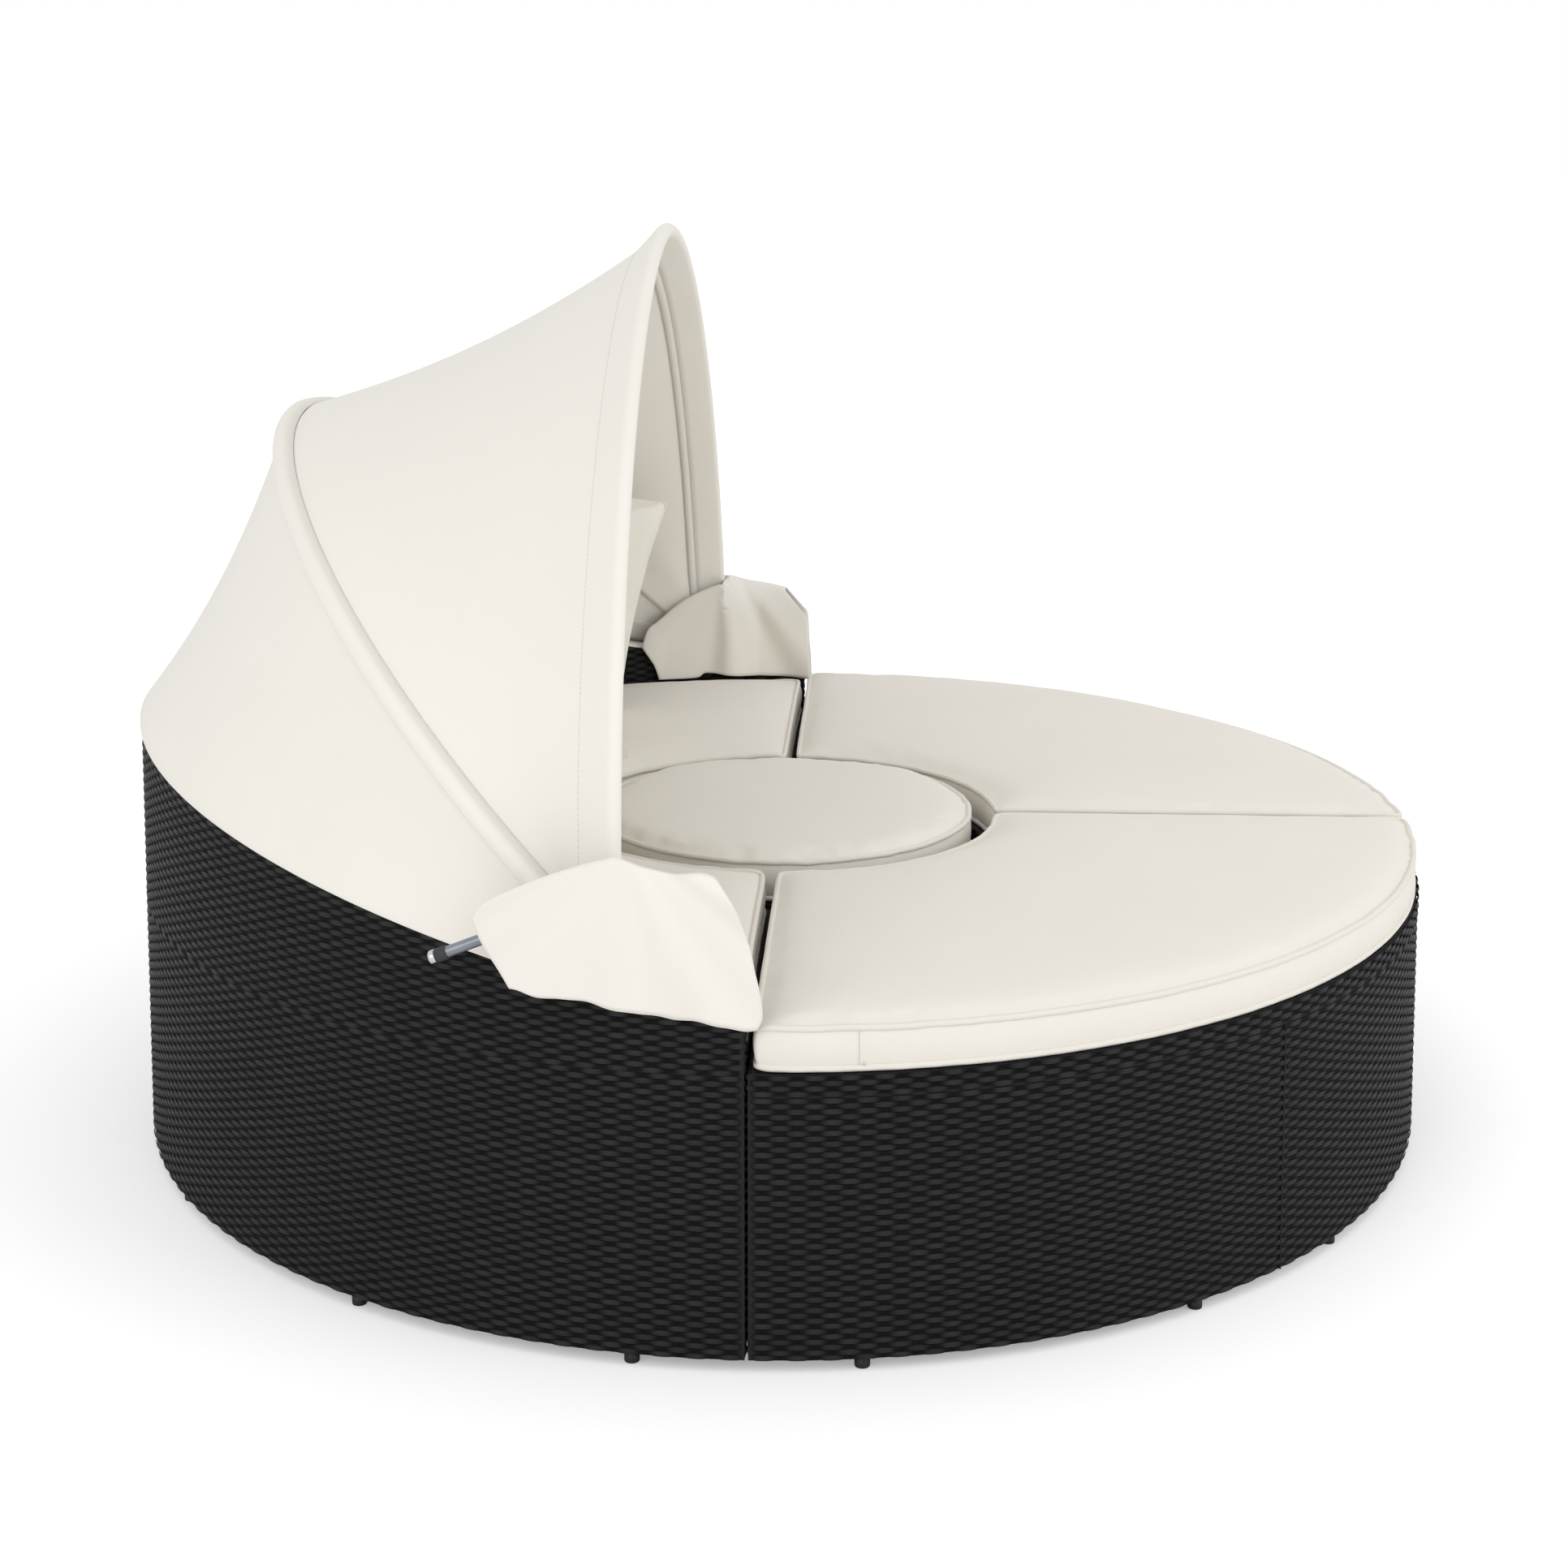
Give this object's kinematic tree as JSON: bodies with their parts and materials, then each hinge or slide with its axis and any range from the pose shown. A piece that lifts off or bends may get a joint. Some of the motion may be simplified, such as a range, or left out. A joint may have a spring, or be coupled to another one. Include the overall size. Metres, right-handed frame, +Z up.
{
  "type": "outdoor daybed with canopy",
  "caption": "Round woven daybed: half-moon sofa with high back and folding fabric canopy, quarter-round ottomans and a centre table, with cream box cushions",
  "frame": {"origin": "on the floor, at the centre of the round plan", "axes": "+Z up; the open side with the ottomans faces -Y and the high back faces +Y"},
  "size_m": [1.8344, 1.8, 1.2544],
  "materials": {
    "wicker": "black flat synthetic strand, woven",
    "frame_tube": "dark powder coat",
    "deck_weave": "black woven strand panel",
    "foot": "black moulded glide",
    "cushion_fabric": "cream woven outdoor fabric with piped edges",
    "canopy_fabric": "cream taut outdoor canvas",
    "hoop_tube": "grey painted tube",
    "bracket": "dark powder-coated plate",
    "knob": "black moulded knob",
    "arm_tube": "grey satin tube",
    "collar": "dark soft collar",
    "plug": "bright end plug"
  },
  "bodies": {
    "sofa": {"sofa_frame": "frame_tube", "sofa_wicker_outer": "wicker", "sofa_wicker_front": "wicker", "sofa_wicker_inner": "wicker", "sofa_deck": "deck_weave", "sofa_seat_cushion": "cushion_fabric", "throw_pillow": "cushion_fabric", "canopy_rear_panel": "canopy_fabric", "canopy_rim_band": "canopy_fabric", "sofa_foot_1": "foot", "sofa_foot_2": "foot", "sofa_foot_3": "foot", "sofa_foot_4": "foot", "sofa_foot_5": "foot", "sofa_foot_6": "foot", "sofa_foot_7": "foot", "hinge_bracket_right": "bracket", "hinge_bolt_right": "bracket", "fixing_knob_right": "knob", "arm_stay_right": "bracket", "arm_tube_right": "arm_tube", "arm_collar_right": "collar", "arm_plug_right": "plug", "hinge_flap_right": "canopy_fabric", "hinge_bracket_left": "bracket", "hinge_bolt_left": "bracket", "fixing_knob_left": "knob", "arm_stay_left": "bracket", "arm_tube_left": "arm_tube", "arm_collar_left": "collar", "arm_plug_left": "plug", "hinge_flap_left": "canopy_fabric"},
    "mid_hoop": {"canopy_mid_hoop": "hoop_tube"},
    "front_hoop": {"canopy_front_hoop": "hoop_tube", "canopy_front_panel": "canopy_fabric"},
    "ottoman_left": {"ottoman_left_frame": "frame_tube", "ottoman_left_wicker": "wicker", "ottoman_left_deck": "deck_weave", "ottoman_left_cushion": "cushion_fabric", "ottoman_left_foot_1": "foot", "ottoman_left_foot_2": "foot", "ottoman_left_foot_3": "foot", "ottoman_left_foot_4": "foot", "ottoman_left_foot_5": "foot"},
    "ottoman_right": {"ottoman_right_frame": "frame_tube", "ottoman_right_wicker": "wicker", "ottoman_right_deck": "deck_weave", "ottoman_right_cushion": "cushion_fabric", "ottoman_right_foot_1": "foot", "ottoman_right_foot_2": "foot", "ottoman_right_foot_3": "foot", "ottoman_right_foot_4": "foot", "ottoman_right_foot_5": "foot"},
    "table": {"table_frame": "frame_tube", "table_wicker": "wicker", "table_deck": "deck_weave", "table_cushion": "cushion_fabric", "table_foot_1": "foot", "table_foot_2": "foot", "table_foot_3": "foot"}
  },
  "joints": [
    {"name": "mid_hoop_fold", "type": "hinge", "parent": "sofa", "child": "mid_hoop", "pos_m": [0, 0.15, 0.456], "axis": [-1, 0, 0], "range_deg": [0, 26], "deforming": ["canopy_rear_panel"]},
    {"name": "front_hoop_fold", "type": "hinge", "parent": "mid_hoop", "child": "front_hoop", "pos_m": [0, 0.15, 0.456], "axis": [-1, 0, 0], "range_deg": [0, 40], "deforming": ["canopy_front_panel"]},
    {"name": "ottoman_left_slide", "type": "slide", "parent": "sofa", "child": "ottoman_left", "axis": [-0.7071, -0.7071, 0], "range_m": [0, 0.6]},
    {"name": "ottoman_right_slide", "type": "slide", "parent": "sofa", "child": "ottoman_right", "axis": [0.7071, -0.7071, 0], "range_m": [0, 0.6]},
    {"name": "table_lift", "type": "slide", "parent": "sofa", "child": "table", "axis": [0, 0, 1], "range_m": [0, 0.5]}
  ],
  "couplings": [
    {"joint": "front_hoop_fold", "follows": "mid_hoop_fold", "ratio": 1.5384}
  ]
}
